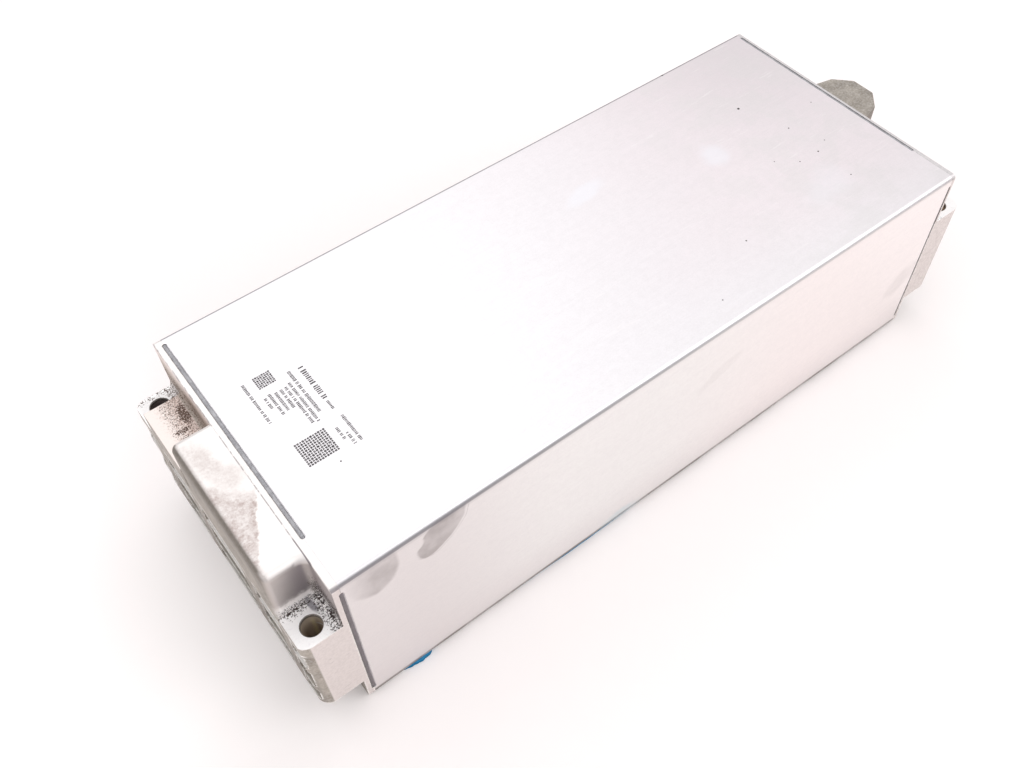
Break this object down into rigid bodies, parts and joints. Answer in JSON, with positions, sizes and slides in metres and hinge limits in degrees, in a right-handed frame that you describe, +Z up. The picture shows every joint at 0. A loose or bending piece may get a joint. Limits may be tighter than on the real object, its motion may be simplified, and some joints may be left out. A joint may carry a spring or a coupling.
{
  "type": "hybrid vehicle battery module",
  "caption": "Long welded aluminium battery box with a cast, ribbed bolt-down plate at each end, holding pouch cells on edge, with power terminals and a signal socket at one end.",
  "frame": {"origin": "on the ground under the middle of the module", "axes": "+X along the module from the blank end to the terminal end, +Y across it, +Z up through the printed top"},
  "size_m": [0.3974, 0.154, 0.1108],
  "materials": {
    "tube_aluminium": "rolled, matt, lightly marked",
    "cast_aluminium": "as cast, with milled pads",
    "weld_metal": "dull grey seam",
    "pouch_foil": "soft satin laminate",
    "foam": "closed-cell foam",
    "heat_paste": "cured paste",
    "clear_film": "milky film",
    "frame_plastic": "moulded, fine grain",
    "cover_plastic": "moulded sheet",
    "bar_aluminium": "stamped",
    "plated_copper": "dull tin plate",
    "nut_steel": "zinc plate",
    "terminal_plastic": "moulded, orange",
    "socket_plastic": "moulded, black",
    "gasket_rubber": "soft rubber",
    "pin_metal": "gold plate",
    "flex_film": "amber film",
    "sensor_resin": "resin bead",
    "paste_blue": "old cured paste, pale blue"
  },
  "bodies": {
    "root": {"housing_tube": "tube_aluminium", "end_plate_near": "cast_aluminium", "end_plate_far": "cast_aluminium", "weld_beads_near": "weld_metal", "weld_beads_far": "weld_metal", "cell_01": "pouch_foil", "cell_02": "pouch_foil", "cell_03": "pouch_foil", "cell_04": "pouch_foil", "cell_05": "pouch_foil", "cell_06": "pouch_foil", "cell_07": "pouch_foil", "cell_08": "pouch_foil", "cell_09": "pouch_foil", "cell_10": "pouch_foil", "cell_11": "pouch_foil", "cell_12": "pouch_foil", "foam_pad_1": "foam", "foam_pad_2": "foam", "foam_pad_3": "foam", "foam_pad_4": "foam", "foam_pad_5": "foam", "side_pad_left": "foam", "side_pad_right": "foam", "heat_bed": "heat_paste", "top_film": "clear_film", "busbar_frame_near": "frame_plastic", "busbar_frame_far": "frame_plastic", "end_cover_near": "cover_plastic", "end_cover_far": "cover_plastic", "busbar_link_1": "bar_aluminium", "busbar_link_2": "bar_aluminium", "busbar_link_3": "bar_aluminium", "busbar_link_4": "bar_aluminium", "busbar_link_5": "bar_aluminium", "busbar_positive": "plated_copper", "busbar_negative": "plated_copper", "terminal_nuts": "nut_steel", "terminal_block_positive": "terminal_plastic", "terminal_block_negative": "terminal_plastic", "signal_socket": "socket_plastic", "socket_gasket": "gasket_rubber", "socket_pins": "pin_metal", "sensing_flex": "flex_film", "temperature_sensors": "sensor_resin", "underside_paste": "paste_blue"}
  },
  "joints": []
}
